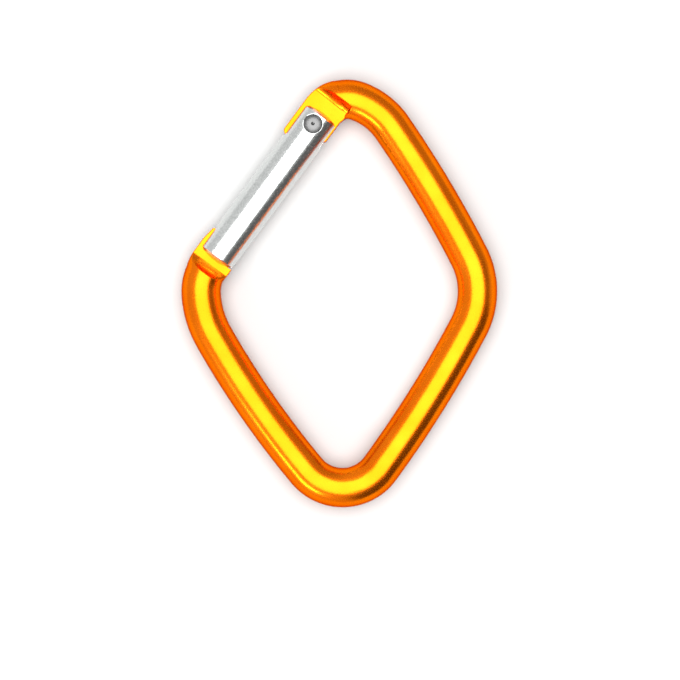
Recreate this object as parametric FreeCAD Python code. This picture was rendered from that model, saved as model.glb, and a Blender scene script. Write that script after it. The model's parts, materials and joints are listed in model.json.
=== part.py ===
"""Small accessory carabiner for keys: bent round-bar frame, sprung swing gate, hinge rivet.

Millimetres.  The carabiner lies flat, its loop in the XY plane and its long side along Y.  The origin is
the middle of the box around it, on the surface it lies on.  Gate parts and tangs are drawn in gate
axes and then placed: x runs from the hinge pivot towards the gate's nose, y towards the inside of the
loop, z up, with zero on the pivot at the middle of the bar.
"""
import FreeCAD, Part
import math
import os
from FreeCAD import Matrix, Placement, Rotation, Vector

# ---------------------------------------------------------------- overall size
LENGTH = 65.0
WIDTH = 48.0
BAR_D = 6.0

# ---------------------------------------------------------------- centre line of the bent bar
# The bar turns clockwise, seen from above, all the way round from the hinge to the nose.  Bends have
# a radius and a turn in degrees.  The three legs between them bow outwards by a small turn each, and
# their radii follow from the overall size.
GATE_LEAN = 36.4            # gate axis to the Y axis, degrees
BEND_START = 2.4            # pivot to the start of the top bend
LEG = None
CENTRE_LINE = [
    (4.7, 73.0),            # top bend, tight beside the hinge
    (10.7, 36.0),           # top bend, sweep
    (LEG, 7.5),             # upper right leg
    (11.7, 55.0),           # right bend
    (LEG, 8.25),            # lower right leg
    (7.1, 104.0),           # bottom bend
    (LEG, 10.2),            # lower left leg
    (15.0, 26.0),           # left bend, sweep
    (7.0, 40.05),           # left bend, tight beside the nose
]

# ---------------------------------------------------------------- flattened tangs on the bar's ends
TANG_THICK = 2.2
TANG_WIDTH = 6.3
TANG_EDGE_R = 0.25
FINGER_TIP = 3.65           # the hinge tang's outer side runs on to here, closing the gate's slot
FINGER_CORNER_R = 0.7
FINGER_INNER = -1.1
HINGE_SHOULDER = (-4.3, -5.6)       # foot and top of the hollow shoulder
SHOULDER_HOLLOW = 0.3       # depth of both shoulders' hollow
TONGUE_TIP = 21.5
TONGUE_TIP_OUTER = -2.85
TONGUE_TAPER_END = 23.8
TONGUE_INNER = 1.95         # the gate's stop face
TONGUE_CORNER_R = 0.3
NOSE_STEP = 25.2            # the tang is full width from here
NOSE_SHOULDER = (26.3, 27.95)       # foot and top of the hollow shoulder
SIDE_MIN_LENGTH = 3.0       # shorter straight edges of the hinge tang stay sharp

# ---------------------------------------------------------------- gate
GATE_D = 5.9
GATE_OFFSET = 0.2           # gate axis inboard of the pivot
GATE_HINGE_CROWN = -2.4
GATE_NOSE_CROWN = 25.6
GATE_CROWN_RISE = 0.45
GATE_CHAMFER = 0.35
SLOT_WIDTH = 2.4
HINGE_SLOT_R = 4.86         # round floor of the hinge slot
HINGE_SLOT_CENTRE = (-0.6, -0.84)
NOSE_SLOT_FLOOR = 21.15
NOSE_WALL_END = 24.5        # end of the closed wall inside the nose slot
STOP_GAP = 0.03
BORE_D = 2.4
BORE_END = 17.5
SPOTFACE_D = 3.06
SPOTFACE_Z = 2.45

# ---------------------------------------------------------------- hinge rivet
RIVET_D = 2.0
RIVET_HOLE_D = 2.1          # running hole through the hinge tang
RIVET_HEAD_D = 2.95
RIVET_HEAD_RIM = 0.16
RIVET_HEAD_Z = 2.96
RIVET_DIMPLE_R = 0.28
RIVET_DIMPLE_DEPTH = 0.2

# ---------------------------------------------------------------- plunger and return spring
# The cam on the hinge tang is an involute, so a flat plunger moves in proportion to the gate's angle.
CAM_BASE_R = 1.0            # plunger travel per radian of gate swing
CAM_START = 2.15            # pivot to the plunger's face with the gate shut
CAM_POINTS = 12
PLUNGER_GAP = 0.03
PLUNGER_D = 2.3
PLUNGER_CHAMFER = 0.12
PLUNGER_LENGTH = 4.4
SPIGOT_D = 1.0
SPIGOT_LENGTH = 1.6
SPRING_WIRE = 0.4
SPRING_OD = 2.25
SPRING_COILS = 11
SPRING_GAP = 0.02

BAR_R = BAR_D / 2
TANG_HALF = TANG_WIDTH / 2
UP = Vector(0, 0, 1)
CUT_CLEAR = 0.5             # how far a cutting solid stands out past what it cuts
ROOT_OVERLAP = 0.1          # how far a tang's plate stops short of its shoulder's top
NEAR = 1e-6
ALIGNED = 0.05


# ---------------------------------------------------------------- centre line
def unit_arc(heading, turn):
    """Displacement along a clockwise arc of radius 1 that starts on a heading, both in degrees."""
    start, end = math.radians(heading), math.radians(heading - turn)
    return Vector(math.sin(start) - math.sin(end), math.cos(end) - math.cos(start), 0)


def advance(first, last):
    """Travel between two headings: the bends' displacement, and each leg's for a radius of 1."""
    bends, legs = Vector(), []
    heading = START_HEADING
    for radius, turn in CENTRE_LINE:
        high, low = min(heading, first), max(heading - turn, last)
        step = unit_arc(high, high - low) if high > low else Vector()
        if radius is LEG:
            legs.append(step)
        else:
            bends += step * radius
        heading -= turn
    return bends, legs


def solve_legs():
    """Leg radii that give the loop its width and length and close it on the gate axis."""
    inward = Vector(-TO_NOSE.y, TO_NOSE.x, 0)
    rows, targets = [], []
    for first, last, direction, total in (
        (-90, -270, Vector(-1, 0, 0), WIDTH - BAR_D),
        (0, -180, Vector(0, -1, 0), LENGTH - BAR_D),
        (START_HEADING, START_HEADING - 360, inward, 0),
    ):
        bends, legs = advance(first, last)
        rows += [leg.dot(direction) for leg in legs] + [0]
        targets.append(total - bends.dot(direction))
    return Matrix(*rows, 0, 0, 0, 1).inverse().multVec(Vector(*targets))


START_HEADING = 90 - GATE_LEAN
TO_NOSE = Vector(-math.cos(math.radians(START_HEADING)), -math.sin(math.radians(START_HEADING)), 0)
LEG_RADII = solve_legs()


def reach(last):
    """Place on the centre line, from the pivot, where it first runs on a heading."""
    place, legs = advance(START_HEADING, last)
    for leg, radius in zip(legs, LEG_RADII):
        place += leg * radius
    return place - TO_NOSE * BEND_START


BOX_CENTRE = Vector(reach(-90).x - (WIDTH - BAR_D) / 2, reach(0).y - (LENGTH - BAR_D) / 2, 0)
PIVOT = Vector(0, 0, BAR_R) - BOX_CENTRE
GATE_AXES = Placement(PIVOT, Rotation(UP, START_HEADING + 180))


def centre_line_arcs():
    """Start, heading, radius and turn of each arc round the bar."""
    radii = iter(LEG_RADII)
    place, heading = PIVOT - TO_NOSE * BEND_START, START_HEADING
    for radius, turn in CENTRE_LINE:
        radius = next(radii) if radius is LEG else radius
        yield place, heading, radius, turn
        place = place + unit_arc(heading, turn) * radius
        heading -= turn


# ---------------------------------------------------------------- shape helpers, in gate axes
def placed(shape):
    shape.Placement = GATE_AXES.multiply(shape.Placement)
    return shape


def plate(edges, thickness):
    """Flat plate on the bar's middle plane from its outline's edges."""
    face = Part.Face(Part.Wire(Part.__sortEdges__(edges)))
    face.translate(Vector(0, 0, -thickness / 2))
    return face.extrude(Vector(0, 0, thickness))


def line(a, b):
    return Part.LineSegment(Vector(*a, 0), Vector(*b, 0)).toShape()


def arc(a, middle, b):
    return Part.Arc(Vector(*a, 0), Vector(*middle, 0), Vector(*b, 0)).toShape()


def x_cylinder(diameter, x_start, x_end, y):
    return Part.makeCylinder(diameter / 2, x_end - x_start, Vector(x_start, y, 0), Vector(1, 0, 0))


def z_cylinder(diameter, z_start, z_end):
    return Part.makeCylinder(diameter / 2, z_end - z_start, Vector(0, 0, z_start))


def round_over(solid, radius, wanted):
    return solid.makeFillet(radius, [edge for edge in solid.Edges if wanted(edge)])


def on_plate_faces(edge):
    box = edge.BoundBox
    return box.ZLength < NEAR and abs(abs(box.ZMin) - TANG_THICK / 2) < NEAR


def shoulder_cutters(foot, top, far, inner):
    """Two solids, above and below a tang, that take the round bar down to it behind a hollow shoulder."""
    half, clear = TANG_THICK / 2, BAR_R + CUT_CLEAR
    run, rise = top - foot, BAR_R - half
    side = math.copysign(1, run)
    into_bar = Vector(side * rise, 0, -side * run).normalize()
    hollow = Vector((foot + top) / 2, 0, (half + BAR_R) / 2) + into_bar * SHOULDER_HOLLOW
    corners = [(top, BAR_R), (top, clear), (far, clear), (far, half), (foot, half)]
    path = [Vector(x, 0, z) for x, z in corners]
    edges = [Part.Arc(path[-1], hollow, path[0]).toShape()]
    edges += [Part.makeLine(a, b) for a, b in zip(path, path[1:])]
    face = Part.Face(Part.Wire(edges))
    face.translate(Vector(0, -TANG_WIDTH, 0))
    upper = face.extrude(Vector(0, TANG_WIDTH + inner, 0))
    return [upper, upper.mirror(Vector(), UP)]


# ---------------------------------------------------------------- frame
def cam_point(swing):
    """Where the plunger's flat face meets the hinge tang at a gate angle in radians."""
    lift = CAM_START + CAM_BASE_R * swing
    return (lift * math.cos(swing) - CAM_BASE_R * math.sin(swing),
            lift * math.sin(swing) + CAM_BASE_R * math.cos(swing))


def cam_swing_at_edge():
    """Gate angle where the cam runs out at the tang's inner edge, found by halving."""
    low, high = 0.0, math.pi / 2
    while high - low > NEAR:
        middle = (low + high) / 2
        if cam_point(middle)[1] < TANG_HALF:
            low = middle
        else:
            high = middle
    return low


def hinge_tang():
    half = TANG_HALF
    swing = cam_swing_at_edge()
    cam = [Vector(*cam_point(swing * i / CAM_POINTS), 0) for i in range(CAM_POINTS + 1)]
    cam_curve = Part.BSplineCurve()
    cam_curve.interpolate(cam)
    corner = FINGER_TIP - FINGER_CORNER_R
    diagonal = FINGER_CORNER_R * math.sqrt(0.5)
    # Around the start of the top bend the outer edge follows the bend.
    bend_y, outer_r = CENTRE_LINE[0][0], CENTRE_LINE[0][0] + half
    root = HINGE_SHOULDER[1] + ROOT_OVERLAP
    angle = math.asin((-root - BEND_START) / outer_r)

    def on_bend(a):
        return (-BEND_START - outer_r * math.sin(a), bend_y - outer_r * math.cos(a))

    inner_corner = (cam[-1].x, cam[-1].y)
    edges = [
        arc(on_bend(angle), on_bend(angle / 2), on_bend(0)),
        line(on_bend(0), (corner, -half)),
        arc((corner, -half), (corner + diagonal, -half + FINGER_CORNER_R - diagonal),
            (FINGER_TIP, -half + FINGER_CORNER_R)),
        line((FINGER_TIP, -half + FINGER_CORNER_R), (FINGER_TIP, FINGER_INNER)),
        line((FINGER_TIP, FINGER_INNER), (CAM_START, FINGER_INNER)),
        line((CAM_START, FINGER_INNER), (CAM_START, CAM_BASE_R)),
        cam_curve.toShape(),
        line(inner_corner, (root, half)),
        line((root, half), on_bend(angle)),
    ]
    tang = plate(edges, TANG_THICK)

    def long_side(edge):
        at_side = abs(abs(edge.CenterOfMass.y) - half) < ALIGNED
        return on_plate_faces(edge) and at_side and edge.Length > SIDE_MIN_LENGTH

    tang = round_over(tang, TANG_EDGE_R, long_side)
    return tang.cut(z_cylinder(RIVET_HOLE_D, -TANG_THICK, TANG_THICK))


def nose_tang():
    half = TANG_HALF
    root = NOSE_SHOULDER[1] - ROOT_OVERLAP
    # The bar curves inwards behind the nose, so the outer edge follows the end of the left bend.
    left_radius = CENTRE_LINE[-1][0]
    bend_x, outer_r = NOSE_BEND_END, left_radius + half
    angle = math.asin((root - bend_x) / outer_r)

    def on_bend(a):
        return (bend_x + outer_r * math.sin(a), left_radius - outer_r * math.cos(a))

    edges = [
        line((TONGUE_TIP, TONGUE_INNER), (TONGUE_TIP, TONGUE_TIP_OUTER)),
        line((TONGUE_TIP, TONGUE_TIP_OUTER), (TONGUE_TAPER_END, -half)),
        line((TONGUE_TAPER_END, -half), on_bend(0)),
        arc(on_bend(0), on_bend(angle / 2), on_bend(angle)),
        line(on_bend(angle), (root, half)),
        line((root, half), (NOSE_STEP, half)),
        line((NOSE_STEP, half), (NOSE_STEP, TONGUE_INNER)),
        line((NOSE_STEP, TONGUE_INNER), (TONGUE_TIP, TONGUE_INNER)),
    ]

    def tip_corner(edge):
        upright = edge.BoundBox.ZLength > TANG_THICK - NEAR
        return upright and edge.CenterOfMass.x < TONGUE_TIP + ALIGNED

    return round_over(plate(edges, TANG_THICK), TONGUE_CORNER_R, tip_corner)


def bent_bar():
    """Round bar along the centre line, with a short straight end at the nose."""
    pieces = []
    for place, heading, radius, turn in centre_line_arcs():
        a = math.radians(heading)
        section = Part.Face(Part.Wire(Part.makeCircle(BAR_R, place, Vector(math.cos(a), math.sin(a), 0))))
        centre = place + Vector(math.sin(a), -math.cos(a), 0) * radius
        pieces.append(section.revolve(centre, -UP, turn))
    pieces.append(placed(x_cylinder(BAR_D, NOSE_STEP, NOSE_BEND_END, 0)))
    return pieces[0].fuse(pieces[1:])


def frame():
    bar = bent_bar()
    flats = shoulder_cutters(*HINGE_SHOULDER, 0, TANG_HALF)
    flats += shoulder_cutters(*NOSE_SHOULDER, NOSE_STEP - CUT_CLEAR, TANG_WIDTH)
    bar = bar.cut([placed(flat) for flat in flats])
    return bar.fuse([placed(hinge_tang()), placed(nose_tang())]).removeSplitter()


# ---------------------------------------------------------------- gate
def gate_bar():
    radius, rise = GATE_D / 2, GATE_CROWN_RISE
    rim = radius - GATE_CHAMFER
    hinge, nose, y = GATE_HINGE_CROWN, GATE_NOSE_CROWN, GATE_OFFSET
    crown_r = (rim ** 2 + rise ** 2) / (2 * rise)
    half_rim = rim / 2
    half_rise = crown_r - math.sqrt(crown_r ** 2 - half_rim ** 2)
    profile = [
        line((hinge, y), (nose, y)),
        arc((nose, y), (nose - half_rise, y + half_rim), (nose - rise, y + rim)),
        line((nose - rise, y + rim), (nose - rise - GATE_CHAMFER, y + radius)),
        line((nose - rise - GATE_CHAMFER, y + radius), (hinge + rise + GATE_CHAMFER, y + radius)),
        line((hinge + rise + GATE_CHAMFER, y + radius), (hinge + rise, y + rim)),
        arc((hinge + rise, y + rim), (hinge + half_rise, y + half_rim), (hinge, y)),
    ]
    bar = Part.Face(Part.Wire(profile)).revolve(Vector(0, y, 0), Vector(1, 0, 0), 360)

    half = SLOT_WIDTH / 2
    slot_x, slot_y = HINGE_SLOT_CENTRE
    hinge_slot = Part.makeCylinder(HINGE_SLOT_R, SLOT_WIDTH, Vector(slot_x, slot_y, -half)).fuse(
        Part.makeBox(HINGE_SLOT_R, GATE_D * 2, SLOT_WIDTH, Vector(slot_x - HINGE_SLOT_R, -GATE_D, -half)))
    stop = TONGUE_INNER + STOP_GAP
    nose_slot = Part.makeBox(GATE_D, GATE_D + stop, SLOT_WIDTH, Vector(NOSE_SLOT_FLOOR, -GATE_D, -half))
    open_end = Part.makeBox(GATE_D, GATE_D * 2, SLOT_WIDTH, Vector(NOSE_WALL_END, -GATE_D, -half))
    nose_slot = nose_slot.fuse(open_end)
    cuts = [
        hinge_slot,
        nose_slot,
        x_cylinder(BORE_D, 0, BORE_END, y),
        z_cylinder(RIVET_D, -GATE_D, GATE_D),
        z_cylinder(SPOTFACE_D, SPOTFACE_Z, GATE_D),
        z_cylinder(SPOTFACE_D, -GATE_D, -SPOTFACE_Z),
    ]
    return placed(bar.cut(cuts))


def hinge_rivet():
    """Rivet with two low domed heads, each with a punch dimple in its middle."""
    head_r, rim_z, top = RIVET_HEAD_D / 2, SPOTFACE_Z + RIVET_HEAD_RIM, RIVET_HEAD_Z
    dome_r = (head_r ** 2 + (top - rim_z) ** 2) / (2 * (top - rim_z))

    def dome(x):
        return top - dome_r + math.sqrt(dome_r ** 2 - x ** 2)

    def half_profile(side):
        points = [(RIVET_D / 2, SPOTFACE_Z), (head_r, SPOTFACE_Z), (head_r, rim_z)]
        path = [Vector(x, 0, side * z) for x, z in points]
        lip = Vector(RIVET_DIMPLE_R, 0, side * dome(RIVET_DIMPLE_R))
        crest = Vector(head_r / 2, 0, side * dome(head_r / 2))
        floor = Vector(0, 0, side * (top - RIVET_DIMPLE_DEPTH))
        edges = [Part.makeLine(a, b) for a, b in zip(path, path[1:])]
        return edges + [Part.Arc(path[-1], crest, lip).toShape(), Part.makeLine(lip, floor)], path[0], floor

    upper, upper_neck, upper_floor = half_profile(1)
    lower, lower_neck, lower_floor = half_profile(-1)
    edges = upper + lower + [Part.makeLine(upper_neck, lower_neck), Part.makeLine(upper_floor, lower_floor)]
    face = Part.Face(Part.Wire(Part.__sortEdges__(edges)))
    return placed(face.revolve(Vector(), UP, 360))


def plunger():
    start, y = CAM_START + PLUNGER_GAP, GATE_OFFSET
    head = x_cylinder(PLUNGER_D, start, start + PLUNGER_LENGTH, y)
    head = head.makeChamfer(PLUNGER_CHAMFER, [e for e in head.Edges if e.BoundBox.XLength < NEAR])
    spigot = x_cylinder(SPIGOT_D, start + PLUNGER_LENGTH, start + PLUNGER_LENGTH + SPIGOT_LENGTH, y)
    return placed(head.fuse(spigot).removeSplitter())


def return_spring():
    """Compression spring between the plunger's shoulder and the bore's end, with its ends ground flat."""
    start = CAM_START + PLUNGER_GAP + PLUNGER_LENGTH + SPRING_GAP
    length = BORE_END - SPRING_GAP - start
    pitch = length / SPRING_COILS
    mean_r = (SPRING_OD - SPRING_WIRE) / 2
    helix = Part.makeHelix(pitch, length, mean_r)
    section = Part.Wire(Part.makeCircle(SPRING_WIRE / 2, Vector(mean_r, 0, 0), Vector(0, 1, 0)))
    coil = Part.Wire(helix.Edges).makePipeShell([section], True, True)
    ends = Part.makeCylinder(SPRING_OD, length)
    coil = coil.common(ends)
    coil.Placement = Placement(Vector(start, GATE_OFFSET, 0), Rotation(Vector(0, 1, 0), 90))
    return placed(coil)


*_, (last_place, last_heading, last_radius, last_turn) = centre_line_arcs()
NOSE_BEND_END = (last_place + unit_arc(last_heading, last_turn) * last_radius - PIVOT).dot(TO_NOSE)

os.makedirs("parts", exist_ok=True)
for node, make in (("frame", frame), ("gate", gate_bar), ("hinge_rivet", hinge_rivet),
                   ("plunger", plunger), ("return_spring", return_spring)):
    shape = make()
    shape.exportStep(f"parts/{node}.step")
    print(node, shape.ShapeType, "solids", len(shape.Solids), "valid", shape.isValid(),
          "volume", round(shape.Volume, 2), shape.BoundBox)
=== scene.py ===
"""Small carabiner for keys, lying on a pale floor and seen from straight above."""
import json
import math

import bmesh
import bpy
from mathutils import Matrix, Vector, noise


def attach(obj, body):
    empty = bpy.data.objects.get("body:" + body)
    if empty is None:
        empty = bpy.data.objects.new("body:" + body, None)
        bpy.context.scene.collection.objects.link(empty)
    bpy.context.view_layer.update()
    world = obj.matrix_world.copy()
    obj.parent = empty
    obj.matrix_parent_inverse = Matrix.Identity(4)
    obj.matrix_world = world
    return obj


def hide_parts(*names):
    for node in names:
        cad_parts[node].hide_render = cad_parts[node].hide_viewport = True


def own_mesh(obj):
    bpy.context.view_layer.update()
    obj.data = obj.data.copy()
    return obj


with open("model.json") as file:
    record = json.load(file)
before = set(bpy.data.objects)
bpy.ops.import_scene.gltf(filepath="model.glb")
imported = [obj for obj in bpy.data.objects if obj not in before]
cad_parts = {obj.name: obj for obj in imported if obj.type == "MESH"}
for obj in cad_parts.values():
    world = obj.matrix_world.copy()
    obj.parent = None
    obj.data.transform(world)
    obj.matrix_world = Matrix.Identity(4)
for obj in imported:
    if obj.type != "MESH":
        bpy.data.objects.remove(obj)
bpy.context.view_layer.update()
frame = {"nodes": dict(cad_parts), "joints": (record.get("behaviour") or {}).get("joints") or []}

MM = 0.001
scene = bpy.context.scene

# ---------------------------------------------------------------- places, from the frame
hinge = next(joint for joint in frame["joints"] if joint["name"] == "gate_hinge")
slide = next(joint for joint in frame["joints"] if joint["name"] == "plunger_slide")
PIVOT = Vector(hinge["pos_m"])
GATE_X = Vector(slide["axis"]).normalized()
GATE_Y = Vector((0, 0, 1)).cross(GATE_X)
GATE_AXES = Matrix.Translation(PIVOT) @ Matrix((GATE_X, GATE_Y, (0, 0, 1))).transposed().to_4x4()
TO_GATE_AXES = GATE_AXES.inverted()


def in_gate_axes(node):
    """Lowest and highest corner of a node in gate axes, in metres."""
    points = [TO_GATE_AXES @ v.co for v in frame["nodes"][node].data.vertices]
    return [Vector(f(p[i] for p in points) for i in range(3)) for f in (min, max)]


def direction(azimuth, zenith):
    """Unit vector at an angle round from +X, towards +Y, and an angle down from straight up, in degrees."""
    a, z = math.radians(azimuth), math.radians(zenith)
    return Vector((math.cos(a) * math.sin(z), math.sin(a) * math.sin(z), math.cos(z)))


# ---------------------------------------------------------------- materials
FINE_BUMP = 0.00001         # height of the finest marks, in metres


class Shader:
    """A material's node tree with short ways to add to it."""

    def __init__(self, name, **values):
        self.material = bpy.data.materials.new(name)
        self.material.use_nodes = True
        self.nodes = self.material.node_tree.nodes
        self.links = self.material.node_tree.links
        self.bsdf = self.nodes["Principled BSDF"]
        for socket, value in values.items():
            self.bsdf.inputs[socket.replace("_", " ")].default_value = value
        self.place = self.add("ShaderNodeTexCoord").outputs["Object"]

    def feed(self, node, socket, value):
        """Links another node's output to a socket, or sets the socket to a plain value."""
        if isinstance(value, bpy.types.NodeSocket):
            self.links.new(value, node.inputs[socket])
        else:
            node.inputs[socket].default_value = value

    def add(self, kind, inputs=None, **settings):
        node = self.nodes.new(kind)
        for key, value in settings.items():
            setattr(node, key, value)
        for socket, value in (inputs or {}).items():
            self.feed(node, socket, value)
        return node

    def grain(self, vector, scale, detail=3.0, roughness=0.55):
        inputs = {"Vector": vector, "Scale": scale, "Detail": detail, "Roughness": roughness}
        return self.add("ShaderNodeTexNoise", inputs).outputs["Fac"]

    def stretched(self, vector, scale):
        return self.add("ShaderNodeMapping", {"Vector": vector, "Scale": scale}).outputs["Vector"]

    def spread(self, value, low, high, to_low, to_high):
        inputs = {"Value": value, "From Min": low, "From Max": high, "To Min": to_low, "To Max": to_high}
        return self.add("ShaderNodeMapRange", inputs).outputs["Result"]

    def blend(self, amount, first, second):
        """Mix of two colours; the sockets are numbered, because the node has several of each name."""
        node = self.add("ShaderNodeMix", {0: amount, 6: first, 7: second}, data_type="RGBA")
        return node.outputs[2]

    def bump(self, height, distance, strength, normal=None):
        inputs = {"Height": height, "Distance": distance, "Strength": strength}
        if normal is not None:
            inputs["Normal"] = normal
        return self.add("ShaderNodeBump", inputs).outputs["Normal"]

    def to(self, socket, value):
        self.links.new(value, self.bsdf.inputs[socket])


def anodised_orange():
    """Bright-dipped aluminium dyed orange: clouding of the dye, fine speckle and faint drawn lines."""
    s = Shader("anodised_orange", Metallic=1.0, Specular_Tint=(0.5, 0.26, 0.14, 1))
    cloud = s.grain(s.place, 170.0, 2.0)
    speck = s.grain(s.place, 5200.0, 2.0)
    dye = s.blend(s.spread(cloud, 0.3, 0.7, 0, 1), (0.88, 0.165, 0.003, 1), (0.94, 0.20, 0.005, 1))
    dye = s.blend(s.spread(speck, 0.60, 0.72, 0, 0.22), dye, (0.62, 0.09, 0.004, 1))
    s.to("Base Color", dye)
    s.to("Roughness", s.spread(speck, 0.3, 0.7, 0.2, 0.3))
    along_bar = s.add("ShaderNodeAttribute", attribute_name="grain").outputs["Vector"]
    lines = s.grain(s.stretched(along_bar, (0.35, 4.0, 4.0)), 1.0)
    s.to("Normal", s.bump(speck, FINE_BUMP, 0.5, s.bump(lines, FINE_BUMP, 0.5)))
    return s.material


def plain_aluminium():
    """Gate bar: drawn aluminium with a grain along its axis and a faint matte bloom."""
    s = Shader("plain_aluminium", Metallic=1.0)
    turn = {"Vector": s.place, "Axis": (0, 0, 1), "Angle": -math.atan2(GATE_X.y, GATE_X.x)}
    along_gate = s.add("ShaderNodeVectorRotate", turn).outputs["Vector"]
    lines = s.grain(s.stretched(along_gate, (140, 5200, 5200)), 1.0)
    bloom = s.grain(s.place, 3800.0, 4.0, 0.7)
    cloud = s.spread(bloom, 0.35, 0.65, 0, 1)
    s.to("Base Color", s.blend(cloud, (0.54, 0.56, 0.55, 1), (0.72, 0.735, 0.725, 1)))
    s.to("Roughness", s.spread(bloom, 0.35, 0.7, 0.19, 0.28))
    s.to("Normal", s.bump(bloom, 0.8 * FINE_BUMP, 0.5, s.bump(lines, 1.2 * FINE_BUMP, 0.4)))
    return s.material


def steel(name, base, low, high):
    """Small steel parts, with a fine turned or ground finish between two roughnesses."""
    s = Shader(name, Metallic=1.0)
    grain = s.grain(s.place, 3000.0)
    darker = tuple(0.8 * c for c in base[:3]) + (1,)
    s.to("Base Color", s.blend(s.spread(grain, 0.35, 0.65, 0, 1), darker, base))
    s.to("Roughness", s.spread(grain, 0.3, 0.7, low, high))
    s.to("Normal", s.bump(grain, FINE_BUMP, 0.4))
    return s.material


def dress(node, material):
    """Gives a CAD node its material."""
    mesh = frame["nodes"][node].data
    mesh.materials.clear()
    mesh.materials.append(material)


def link(name, mesh, body, node, material):
    """Puts a piece in the scene, riding on a body in place of a CAD node."""
    piece = bpy.data.objects.new(name, mesh)
    scene.collection.objects.link(piece)
    mesh.materials.append(material)
    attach(piece, body)
    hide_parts(node)
    return piece


dress("gate", plain_aluminium())
dress("hinge_rivet", steel("rivet_steel", (0.14, 0.14, 0.14, 1), 0.22, 0.36))
dress("plunger", steel("plunger_steel", (0.55, 0.55, 0.56, 1), 0.2, 0.35))

# ---------------------------------------------------------------- bent bar, in millimetres
BAR_R = 3.0
BEND_START = 2.4            # from the pivot back to the first bend
BENDS_AND_LEGS = [          # radius and turn of each arc, clockwise from the hinge to the nose
    (4.7, 73.0), (10.7, 36.0), (174.14, 7.5), (11.7, 55.0), (175.81, 8.25),
    (7.1, 104.0), (139.09, 10.2), (15.0, 26.0), (7.0, 40.05),
]
LENGTHS = [radius * math.radians(turn) for radius, turn in BENDS_AND_LEGS]
BAR_LENGTH = sum(LENGTHS)
CREASED_BEND = 6.5                          # length from the bar's start to the creases
BOTTOM_BEND = sum(LENGTHS[:5]) + 4.0        # and to the deeper streaks in the bottom bend
FINE_STEP, LEG_STEP = 0.07, 0.4             # between rings, near the shoulders and elsewhere
HINGE_FINE, NOSE_FINE = 8, 6                # lengths at the bar's ends with fine rings
TANG_HALF, TANG_THIN = 3.15, 1.1            # half width and half thickness of the flattened ends
TANG_CORNER = math.asin(TANG_THIN / BAR_R)  # angle round the bar where a tang's corner comes
EDGE_R = 0.13
CORNER_SPAN = 1.1 * EDGE_R
HINGE_SHOULDER = (-4.3, -5.6)               # foot and top along the gate axis
NOSE_SHOULDER = (26.3, 27.95)
SHOULDER_HOLLOW = 0.3
SHOULDER_SOFT = 0.16
SIDE_WALL = 5.0             # slope of the wall where the pressed flat stops short of the inner side
HINGE_BEND, NOSE_BEND = 5.9, 5.0            # lengths at the bar's ends that a shoulder may reach
CAM_START, CAM_BASE_R = 2.15, 1.0
CAM_STEP = math.radians(3)
FINGER_TIP, FINGER_CORNER_R, FINGER_INNER = 3.65, 0.7, -1.1
FINGER_STEPS, HINGE_TANG_STEPS = 8, 12
TONGUE_TIP, TONGUE_TAPER_END, NOSE_STEP = 21.5, 23.8, 25.2
TONGUE_TIP_OUTER, TONGUE_INNER, TONGUE_CORNER_R = -2.85, 1.95, 0.3
TONGUE_STEPS, NOSE_TANG_STEPS = 6, 7
RIVET_HOLE_D = 2.1
STEP = 0.03                 # run of the tangs' upright steps
SHARP_EDGE = math.radians(38)
NEAR = 1e-6


def ring_angles(per_side=8, per_corner=8, per_face=34):
    """Angles round the bar, gathered where the tangs' corners will be."""
    low = TANG_CORNER - CORNER_SPAN / (BAR_R * math.cos(TANG_CORNER))
    high = TANG_CORNER + CORNER_SPAN / TANG_THIN
    stops = ((-low, low, per_side), (low, high, per_corner), (high, math.pi - high, per_face),
             (math.pi - high, math.pi - low, per_corner), (math.pi - low, math.pi + low, per_side),
             (math.pi + low, math.pi + high, per_corner), (math.pi + high, 2 * math.pi - high, per_face),
             (2 * math.pi - high, 2 * math.pi - low, per_corner))
    return [a + (b - a) * i / count for a, b, count in stops for i in range(count)]


ANGLES = ring_angles()


def shoulder_height(foot, top, x):
    """Height of a hollow shoulder above the bar's middle plane at a place along the gate axis."""
    if (x - foot) * (top - foot) <= 0:
        return TANG_THIN
    if (x - top) * (top - foot) >= 0:
        return 2 * BAR_R
    run, rise = abs(top - foot), BAR_R - TANG_THIN
    chord = math.hypot(run, rise)
    radius = (chord ** 2 / 4 + SHOULDER_HOLLOW ** 2) / (2 * SHOULDER_HOLLOW)
    reach = math.sqrt(radius ** 2 - chord ** 2 / 4)
    centre_x = run / 2 - reach * rise / chord
    centre_z = rise / 2 + reach * run / chord
    return TANG_THIN + centre_z - math.sqrt(max(radius ** 2 - (abs(x - foot) - centre_x) ** 2, 0))


def smooth_min(a, b, soft):
    """The lesser of two numbers, eased where they are nearly equal."""
    blend = max(soft - abs(a - b), 0) / soft
    return min(a, b) - blend ** 2 * soft / 4


def round_corner(offset, height, middle, half, radius):
    """Pulls a point on a tang's square section in to its rounded corner."""
    side, thick = half - radius, TANG_THIN - radius
    inner_o = min(max(offset - middle, -side), side)
    inner_h = min(max(height, -thick), thick)
    away = Vector((offset - middle - inner_o, height - inner_h))
    if away.length < NEAR:
        return offset, height
    away = away.normalized() * radius
    return middle + inner_o + away.x, inner_h + away.y


def tang_section(outer, inner):
    """Ring of (outward offset, height) round a tang between its outer and inner edges in gate axes."""
    middle, half = -(outer + inner) / 2, (inner - outer) / 2
    ring = []
    for a in ANGLES:
        height = min(max(BAR_R * math.sin(a), -TANG_THIN), TANG_THIN)
        across = BAR_R * math.cos(a)
        if abs(height) < TANG_THIN:
            offset = math.copysign(half, across)
        else:
            offset = across * half / (BAR_R * math.cos(TANG_CORNER))
        ring.append(round_corner(middle + offset, height, middle, half, min(EDGE_R, half / 2)))
    return ring


FLAT = tang_section(-TANG_HALF, TANG_HALF)


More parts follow.
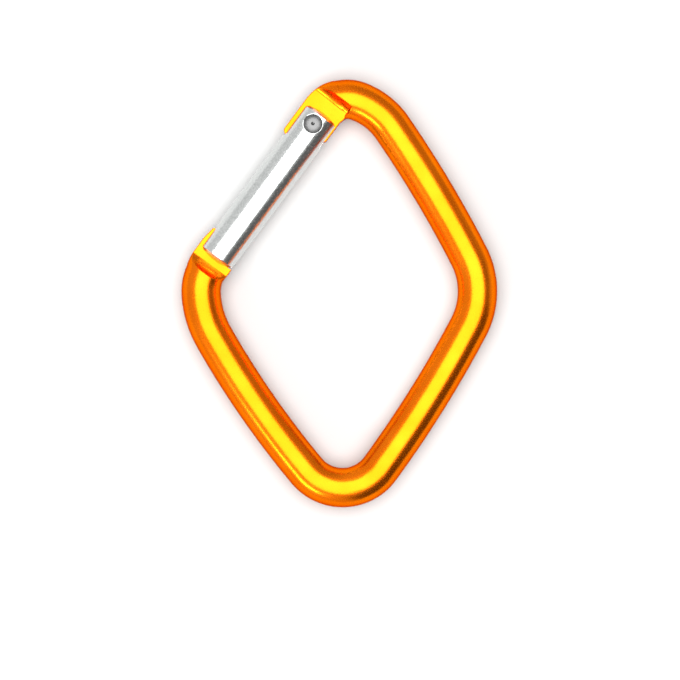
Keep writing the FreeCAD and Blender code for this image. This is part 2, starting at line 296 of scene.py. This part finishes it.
def surface_wear(along, angle):
    """Unevenness of the drawn bar: faint waves and streaks, creases in one bend, more streaks in another."""
    def uneven(per_mm, round_bar, shift=0.0):
        return noise.noise(Vector((along * per_mm, math.cos(angle) * round_bar,
                                   math.sin(angle) * round_bar + shift)))
    waves, streak, crease = uneven(0.12, 1.6), uneven(0.45, 6.0), uneven(1.3, 4.0, 9.0)
    hinge_bend = math.exp(-((along - CREASED_BEND) / 3.0) ** 2) * max(-math.cos(angle - 0.5), 0)
    bottom_bend = math.exp(-((along - BOTTOM_BEND) / 6.0) ** 2)
    return 0.010 * waves + 0.0025 * streak + 0.022 * crease * hinge_bend + 0.014 * streak * bottom_bend


def shoulder_near(along):
    """The shoulder that may press the bar at this length from its start, or None."""
    if along < HINGE_BEND:
        return HINGE_SHOULDER
    if along > BAR_LENGTH - NOSE_BEND:
        return NOSE_SHOULDER
    return None


def bar_ring(place, heading, along):
    """One ring of the bar, in metres, with the shoulders' hollows pressed into it."""
    out = Vector((-math.sin(heading), math.cos(heading), 0))
    shoulder = shoulder_near(along)
    if shoulder:
        middle_limit = shoulder_height(*shoulder, (TO_GATE_AXES @ place).x / MM)
        flattened = 1 - (min(middle_limit, BAR_R) - TANG_THIN) / (BAR_R - TANG_THIN)
    ring = []
    for a, (flat_offset, flat_height) in zip(ANGLES, FLAT):
        radius = BAR_R + surface_wear(along, a)
        offset, height = radius * math.cos(a), radius * math.sin(a)
        if shoulder:
            x, y, _ = (TO_GATE_AXES @ (place + out * offset * MM)) / MM
            limit = shoulder_height(*shoulder, x) + SIDE_WALL * max(y - TANG_HALF, 0)
            pressed = smooth_min(abs(height), limit, SHOULDER_SOFT)
            if limit <= TANG_THIN:
                pressed = min(pressed, abs(flat_height))
            height = math.copysign(pressed, height)
            offset += (flat_offset - offset) * flattened
        ring.append(place + out * offset * MM + Vector((0, 0, height * MM)))
    return ring


def bar_places():
    """Place, heading and length so far along the bar's centre line, closer together at the shoulders."""
    start = GATE_AXES @ Vector((-BEND_START * MM, 0, 0))
    heading = math.atan2(-GATE_X.y, -GATE_X.x)
    along, places = 0.0, []
    for radius, turn in BENDS_AND_LEGS:
        turn = math.radians(turn)
        length = radius * turn
        fine = along < HINGE_FINE or along + length > BAR_LENGTH - NOSE_FINE
        steps = math.ceil(length / (FINE_STEP if fine else LEG_STEP))
        centre = start + Vector((math.sin(heading), -math.cos(heading), 0)) * radius * MM
        for i in range(steps + 1):
            h = heading - turn * i / steps
            place = centre - Vector((math.sin(h), -math.cos(h), 0)) * radius * MM
            if i or not places:
                places.append((place, h, along + length * i / steps))
        start, heading, along = place, h, along + length
    return places


def tang_ring(x, outer, inner):
    """One ring of a tang, in metres, at a place along the gate axis."""
    return [GATE_AXES @ (Vector((x, -offset, height)) * MM) for offset, height in tang_section(outer, inner)]


def hinge_tang_rings():
    """From the finger's tip, over the cam's involute, back to the start of the top bend."""
    rings = []
    for i in range(FINGER_STEPS + 1):
        a = math.radians(90 * i / FINGER_STEPS)
        x = FINGER_TIP - FINGER_CORNER_R * (1 - math.cos(a))
        rings.append((x, -TANG_HALF + FINGER_CORNER_R * (1 - math.sin(a)), FINGER_INNER))
    rings.append((CAM_START + STEP, -TANG_HALF, FINGER_INNER))
    swing, y = 0.0, 0.0
    while y < TANG_HALF:
        lift = CAM_START + CAM_BASE_R * swing
        x = lift * math.cos(swing) - CAM_BASE_R * math.sin(swing)
        y = lift * math.sin(swing) + CAM_BASE_R * math.cos(swing)
        rings.append((x, -TANG_HALF, min(y, TANG_HALF)))
        swing += CAM_STEP
    for i in range(1, HINGE_TANG_STEPS):
        rings.append((x + (-BEND_START - x) * i / HINGE_TANG_STEPS, -TANG_HALF, TANG_HALF))
    return [tang_ring(*ring) for ring in rings]


def nose_tang_rings(end):
    """From a place at the end of the left bend out to the tongue's tip."""
    nose_end = (TO_GATE_AXES @ end).x / MM
    rings = []
    for i in range(1, NOSE_TANG_STEPS + 1):
        rings.append((nose_end + (NOSE_STEP - nose_end) * i / NOSE_TANG_STEPS, -TANG_HALF, TANG_HALF))
    rings.append((NOSE_STEP - STEP, -TANG_HALF, TONGUE_INNER))
    rings.append((TONGUE_TAPER_END, -TANG_HALF, TONGUE_INNER))
    slope = (TONGUE_TIP_OUTER + TANG_HALF) / (TONGUE_TAPER_END - TONGUE_TIP)
    for i in range(TONGUE_STEPS + 1):
        a = math.radians(90 * i / TONGUE_STEPS)
        x = TONGUE_TIP + TONGUE_CORNER_R * (1 - math.sin(a))
        cut = TONGUE_CORNER_R * (1 - math.cos(a))
        outer = -TANG_HALF + slope * (TONGUE_TAPER_END - x) + cut
        rings.append((x, outer, TONGUE_INNER - cut))
    return [tang_ring(*ring) for ring in rings]


def tube_mesh(name, rings):
    """Closed mesh through rings of equal count, with its ends capped."""
    count = len(rings[0])
    verts = [point for ring in rings for point in ring]
    faces = []
    for i in range(len(rings) - 1):
        for k in range(count):
            n = (k + 1) % count
            faces.append((i * count + k, i * count + n, (i + 1) * count + n, (i + 1) * count + k))
    faces.append(tuple(reversed(range(count))))
    faces.append(tuple(range(len(verts) - count, len(verts))))
    mesh = bpy.data.meshes.new(name)
    mesh.from_pydata(verts, [], faces)
    return mesh


def bored(mesh):
    """The mesh with the rivet's running hole cut through its hinge tang."""
    bm = bmesh.new()
    hole_r = RIVET_HOLE_D / 2 * MM
    bmesh.ops.create_cone(bm, cap_ends=True, segments=64, radius1=hole_r, radius2=hole_r,
                          depth=2 * BAR_R * MM, matrix=Matrix.Translation(PIVOT))
    drill_mesh = bpy.data.meshes.new("drill")
    bm.to_mesh(drill_mesh)
    bm.free()
    drill = bpy.data.objects.new("drill", drill_mesh)
    blank = bpy.data.objects.new("blank", mesh)
    for thing in (drill, blank):
        scene.collection.objects.link(thing)
    cut = blank.modifiers.new("cut", "BOOLEAN")
    cut.object, cut.operation, cut.solver = drill, "DIFFERENCE", "EXACT"
    cut_blank = blank.evaluated_get(bpy.context.evaluated_depsgraph_get())
    result = bpy.data.meshes.new_from_object(cut_blank)
    for thing in (drill, blank):
        bpy.data.objects.remove(thing)
    result.name = "bent_bar"
    result.shade_smooth()
    result.set_sharp_from_angle(angle=SHARP_EDGE)
    return result


def add_grain(mesh, rings):
    """Stores each point's place along and round the bar, which the drawn lines follow."""
    values, along, last = [], 0.0, rings[0][0]
    for ring in rings:
        along += (ring[0] - last).length / MM
        last = ring[0]
        for a in ANGLES:
            values += [along, BAR_R * math.cos(a), BAR_R * math.sin(a)]
    mesh.attributes.new("grain", "FLOAT_VECTOR", "POINT").data.foreach_set("vector", values)


def bent_bar():
    """The whole bar, from the finger's tip round the loop to the tongue's tip."""
    places = bar_places()
    rings = hinge_tang_rings() + [bar_ring(*place) for place in places] + nose_tang_rings(places[-1][0])
    mesh = tube_mesh("bent_bar", rings)
    add_grain(mesh, rings)
    piece = link("bent_bar", bored(mesh), "frame", "frame", anodised_orange())


bent_bar()


# ---------------------------------------------------------------- return spring
COILS = 11
WIRE_R = 0.2 * MM
POINTS_ROUND_WIRE, RINGS_PER_COIL = 12, 40


def return_spring():
    """Round-wire helix of even pitch in the gate's bore, riding rigidly on the gate."""
    low, high = in_gate_axes("return_spring")
    mean_r = (high.y - low.y) / 2 - WIRE_R
    middle = Vector((0, (high.y + low.y) / 2, (high.z + low.z) / 2))
    first, last = low.x + WIRE_R, high.x - WIRE_R
    rise = (last - first) / (2 * math.pi * COILS)
    steps = COILS * RINGS_PER_COIL
    rings = []
    for i in range(steps + 1):
        a = 2 * math.pi * COILS * i / steps
        out = Vector((0, math.cos(a), math.sin(a)))
        wire = Vector((rise, -math.sin(a) * mean_r, math.cos(a) * mean_r)).normalized()
        side = wire.cross(out)
        core = middle + Vector((first + rise * a, 0, 0)) + out * mean_r
        ring = []
        for k in range(POINTS_ROUND_WIRE):
            b = 2 * math.pi * k / POINTS_ROUND_WIRE
            ring.append(GATE_AXES @ (core + (out * math.cos(b) + side * math.sin(b)) * WIRE_R))
        rings.append(ring)
    mesh = tube_mesh("return_spring_wire", rings)
    mesh.shade_smooth()
    metal = steel("spring_steel", (0.50, 0.50, 0.52, 1), 0.2, 0.32)
    piece = link("return_spring_wire", mesh, "gate", "return_spring", metal)
    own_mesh(piece)


return_spring()


# ---------------------------------------------------------------- floor, light and camera
FLOOR_HALF = 3.0
LAMP_DISTANCE = 1.6


def pale_floor():
    """Square of matt floor, which is part of the stage and not of the object."""
    corners = [(x * FLOOR_HALF, y * FLOOR_HALF, 0) for x, y in ((-1, -1), (1, -1), (1, 1), (-1, 1))]
    mesh = bpy.data.meshes.new("floor")
    mesh.from_pydata(corners, [], [(0, 1, 2, 3)])
    floor = bpy.data.objects.new("floor", mesh)
    scene.collection.objects.link(floor)
    matte = Shader("floor", Base_Color=(0.50, 0.50, 0.497, 1), Roughness=0.9, Specular_IOR_Level=0.2)
    mesh.materials.append(matte.material)


def lamp(name, shape, azimuth, zenith, width, height, radiance):
    """Softbox facing the part, hidden from the camera, with the same radiance all over it."""
    data = bpy.data.lights.new(name, "AREA")
    data.shape = shape
    data.size, data.size_y = width, height
    area = math.pi * width * height / 4 if shape == "DISK" else width * height
    data.energy = radiance * math.pi * area
    lamp_object = bpy.data.objects.new(name, data)
    lamp_object.location = direction(azimuth, zenith) * LAMP_DISTANCE
    lamp_object.rotation_euler = lamp_object.location.to_track_quat("Z", "Y").to_euler()
    lamp_object.visible_camera = False
    scene.collection.objects.link(lamp_object)


DIM_ZONES = [               # azimuth and zenith, inner and outer half angle, brightness inside
    (-45, 70, 30, 40, 0.15),
    (8, 56, 12, 24, 0.4),
    (50, 80, 18, 50, 0.62),
]


def studio_world():
    """Pale walls, a dimmer ceiling round the softbox, and zones where the walls are darker."""
    world = bpy.data.worlds.new("studio")
    scene.world = world
    world.use_nodes = True
    nodes, links = world.node_tree.nodes, world.node_tree.links
    background = nodes["Background"]
    toward = nodes.new("ShaderNodeTexCoord").outputs["Generated"]
    split = nodes.new("ShaderNodeSeparateXYZ")
    links.new(toward, split.inputs["Vector"])
    up = nodes.new("ShaderNodeValToRGB")
    links.new(split.outputs["Z"], up.inputs["Fac"])
    stops = up.color_ramp.elements
    stops[0].position, stops[0].color = 0.70, (0.82, 0.82, 0.82, 1)
    stops[1].position, stops[1].color = 0.78, (0.45, 0.45, 0.45, 1)
    links.new(up.outputs["Color"], background.inputs["Color"])
    strength = None
    for azimuth, zenith, inner, outer, level in DIM_ZONES:
        lobe = nodes.new("ShaderNodeVectorMath")
        lobe.operation = "DOT_PRODUCT"
        links.new(toward, lobe.inputs[0])
        lobe.inputs[1].default_value = direction(azimuth, zenith)
        shade = nodes.new("ShaderNodeMapRange")
        shade.interpolation_type = "SMOOTHSTEP"
        links.new(lobe.outputs["Value"], shade.inputs["Value"])
        shade.inputs["From Min"].default_value = math.cos(math.radians(outer))
        shade.inputs["From Max"].default_value = math.cos(math.radians(inner))
        shade.inputs["To Min"].default_value = 1.0
        shade.inputs["To Max"].default_value = level
        if strength is None:
            strength = shade.outputs["Result"]
        else:
            product = nodes.new("ShaderNodeMath")
            product.operation = "MULTIPLY"
            links.new(strength, product.inputs[0])
            links.new(shade.outputs["Result"], product.inputs[1])
            strength = product.outputs["Value"]
    links.new(strength, background.inputs["Strength"])


pale_floor()
lamp("overhead_softbox", "DISK", azimuth=30, zenith=1.5, width=2.3, height=2.3, radiance=4.7)
lamp("low_strip", "RECTANGLE", azimuth=232, zenith=61, width=0.75, height=0.25, radiance=13.0)
studio_world()
scene.view_settings.view_transform = "Standard"

CAMERA_HEIGHT = 0.6
VIEW_WIDTH = 103.33 * MM
VIEW_CENTRE = Vector((0.11, -7.07, 3.0)) * MM
camera_data = bpy.data.cameras.new("camera")
camera = bpy.data.objects.new("camera", camera_data)
camera.location = VIEW_CENTRE + Vector((0, 0, CAMERA_HEIGHT))
camera_data.lens = camera_data.sensor_width * CAMERA_HEIGHT / VIEW_WIDTH
camera_data.clip_start, camera_data.clip_end = 0.01, 20
scene.collection.objects.link(camera)
scene.camera = camera
